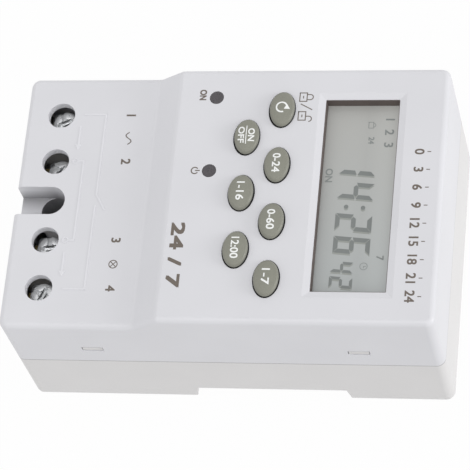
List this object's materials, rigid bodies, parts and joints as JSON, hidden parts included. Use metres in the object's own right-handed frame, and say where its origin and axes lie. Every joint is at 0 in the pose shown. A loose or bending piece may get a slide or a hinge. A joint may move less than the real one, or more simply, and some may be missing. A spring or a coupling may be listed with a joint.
{
  "type": "timer switch",
  "caption": "Rail or wall mounted digital weekly timer switch: stepped housing with a display window, oval keys, indicator lamps and clamp screw terminals",
  "frame": {"origin": "middle of the flat back, where the unit lies on a wall or a table", "axes": "+Z out of the front towards the user, +Y towards the display end, -Y towards the terminal end, +X the unit's right-hand side"},
  "size_m": [0.077, 0.12, 0.053],
  "materials": {
    "cover_white": "fine satin moulded plastic, cool white",
    "base_white": "fine satin moulded plastic, slightly warmer white",
    "key_grey": "satin olive grey plastic",
    "lens_dark": "dark tinted translucent plastic",
    "display_glass": "grey green liquid crystal glass",
    "terminal_zinc": "bright zinc plated steel",
    "terminal_brass": "bare brass strip",
    "link_copper": "tinned copper strip",
    "board_green": "glass fibre board with green varnish",
    "holder_plastic": "plain white plastic",
    "strip_rubber": "layered conductive rubber",
    "switch_black": "black plastic case",
    "plunger_grey": "dark plastic",
    "lamp_red": "tinted clear resin",
    "chip_black": "moulded black resin",
    "part_steel": "plated steel",
    "cell_steel": "stainless steel can",
    "ribbon_grey": "flat cable insulation",
    "capacitor_box": "moulded plastic box",
    "can_sleeve": "shrink sleeve over an aluminium can",
    "varistor_blue": "blue epoxy coat",
    "resistor_body": "lacquered ceramic",
    "relay_blue": "moulded relay cover",
    "relay_plastic": "moulded plastic",
    "relay_iron": "nickel plated soft iron",
    "winding_copper": "enamelled copper wire",
    "contact_alloy": "contact strip with silver rivet",
    "clip_plastic": "satin white plastic",
    "spring_steel": "spring steel strip"
  },
  "bodies": {
    "housing": {"front_cover": "cover_white", "rear_base": "base_white", "display_panel": "display_glass", "display_holder": "holder_plastic", "contact_strips": "strip_rubber", "control_board": "board_green", "control_board_screws": "part_steel", "tact_switches": "switch_black", "indicator_lenses": "lens_dark", "indicator_lamps": "lamp_red", "controller_chip": "chip_black", "clock_crystal": "part_steel", "backup_cell": "cell_steel", "cell_tabs": "part_steel", "ribbon_cable": "ribbon_grey", "power_board": "board_green", "power_board_screws": "part_steel", "dropper_capacitor": "capacitor_box", "smoothing_capacitor": "can_sleeve", "varistor": "varistor_blue", "rectifier_bridge": "chip_black", "bleed_resistors": "resistor_body", "relay_base": "relay_plastic", "relay_case": "relay_blue", "relay_yoke": "relay_iron", "relay_bobbin": "relay_plastic", "relay_winding": "winding_copper", "relay_contact": "contact_alloy", "relay_leaf_spring": "spring_steel", "terminal_plates": "terminal_brass", "line_link": "link_copper", "load_link": "link_copper", "neutral_link": "link_copper", "rail_clip_spring": "spring_steel"},
    "reset_key": {"key_reset": "key_grey", "plunger_reset": "plunger_grey"},
    "hour_key": {"key_hour": "key_grey", "plunger_hour": "plunger_grey"},
    "minute_key": {"key_minute": "key_grey", "plunger_minute": "plunger_grey"},
    "week_key": {"key_week": "key_grey", "plunger_week": "plunger_grey"},
    "auto_key": {"key_auto": "key_grey", "plunger_auto": "plunger_grey"},
    "timer_key": {"key_timer": "key_grey", "plunger_timer": "plunger_grey"},
    "clock_key": {"key_clock": "key_grey", "plunger_clock": "plunger_grey"},
    "clamp_1": {"clamp_plate_1": "terminal_zinc"},
    "screw_1": {"terminal_screw_1": "terminal_zinc"},
    "clamp_2": {"clamp_plate_2": "terminal_zinc"},
    "screw_2": {"terminal_screw_2": "terminal_zinc"},
    "clamp_3": {"clamp_plate_3": "terminal_zinc"},
    "screw_3": {"terminal_screw_3": "terminal_zinc"},
    "clamp_4": {"clamp_plate_4": "terminal_zinc"},
    "screw_4": {"terminal_screw_4": "terminal_zinc"},
    "relay_armature": {"relay_armature": "relay_iron"},
    "rail_clip": {"rail_clip": "clip_plastic"}
  },
  "joints": [
    {"name": "reset_press", "type": "slide", "parent": "housing", "child": "reset_key", "axis": [0, 0, -1], "range_m": [0, 0.0005], "stiffness_N_per_m": 1500, "springref_m": -0.0003},
    {"name": "hour_press", "type": "slide", "parent": "housing", "child": "hour_key", "axis": [0, 0, -1], "range_m": [0, 0.0005], "stiffness_N_per_m": 1500, "springref_m": -0.0003},
    {"name": "minute_press", "type": "slide", "parent": "housing", "child": "minute_key", "axis": [0, 0, -1], "range_m": [0, 0.0005], "stiffness_N_per_m": 1500, "springref_m": -0.0003},
    {"name": "week_press", "type": "slide", "parent": "housing", "child": "week_key", "axis": [0, 0, -1], "range_m": [0, 0.0005], "stiffness_N_per_m": 1500, "springref_m": -0.0003},
    {"name": "auto_press", "type": "slide", "parent": "housing", "child": "auto_key", "axis": [0, 0, -1], "range_m": [0, 0.0005], "stiffness_N_per_m": 1500, "springref_m": -0.0003},
    {"name": "timer_press", "type": "slide", "parent": "housing", "child": "timer_key", "axis": [0, 0, -1], "range_m": [0, 0.0005], "stiffness_N_per_m": 1500, "springref_m": -0.0003},
    {"name": "clock_press", "type": "slide", "parent": "housing", "child": "clock_key", "axis": [0, 0, -1], "range_m": [0, 0.0005], "stiffness_N_per_m": 1500, "springref_m": -0.0003},
    {"name": "clamp_1_slide", "type": "slide", "parent": "housing", "child": "clamp_1", "axis": [0, 0, 1], "range_m": [-0.0049, 0.0038]},
    {"name": "screw_1_turn", "type": "hinge", "parent": "clamp_1", "child": "screw_1", "pos_m": [-0.0264, -0.0493, 0.038], "axis": [0, 0, 1], "range_deg": [-2522, 1956]},
    {"name": "clamp_2_slide", "type": "slide", "parent": "housing", "child": "clamp_2", "axis": [0, 0, 1], "range_m": [-0.003, 0.0057]},
    {"name": "screw_2_turn", "type": "hinge", "parent": "clamp_2", "child": "screw_2", "pos_m": [-0.012, -0.0493, 0.038], "axis": [0, 0, 1], "range_deg": [-1544, 2933]},
    {"name": "clamp_3_slide", "type": "slide", "parent": "housing", "child": "clamp_3", "axis": [0, 0, 1], "range_m": [-0.0041, 0.0046]},
    {"name": "screw_3_turn", "type": "hinge", "parent": "clamp_3", "child": "screw_3", "pos_m": [0.012, -0.0493, 0.038], "axis": [0, 0, 1], "range_deg": [-2110, 2367]},
    {"name": "clamp_4_slide", "type": "slide", "parent": "housing", "child": "clamp_4", "axis": [0, 0, 1], "range_m": [-0.0046, 0.0041]},
    {"name": "screw_4_turn", "type": "hinge", "parent": "clamp_4", "child": "screw_4", "pos_m": [0.0264, -0.0493, 0.038], "axis": [0, 0, 1], "range_deg": [-2367, 2110]},
    {"name": "armature_rock", "type": "hinge", "parent": "housing", "child": "relay_armature", "pos_m": [-0.0165, -0.0063, 0.0298], "axis": [1, 0, 0], "range_deg": [0, 3.1], "stiffness_Nm_per_rad": 0.02, "springref_deg": -2.01},
    {"name": "clip_slide", "type": "slide", "parent": "housing", "child": "rail_clip", "axis": [0, -1, 0], "range_m": [0, 0.003], "stiffness_N_per_m": 1000, "springref_m": -0.003, "deforming": ["rail_clip_spring"]}
  ],
  "couplings": [
    {"joint": "screw_1_turn", "follows": "clamp_1_slide", "rad_per_m": 8976},
    {"joint": "screw_2_turn", "follows": "clamp_2_slide", "rad_per_m": 8976},
    {"joint": "screw_3_turn", "follows": "clamp_3_slide", "rad_per_m": 8976},
    {"joint": "screw_4_turn", "follows": "clamp_4_slide", "rad_per_m": 8976}
  ]
}
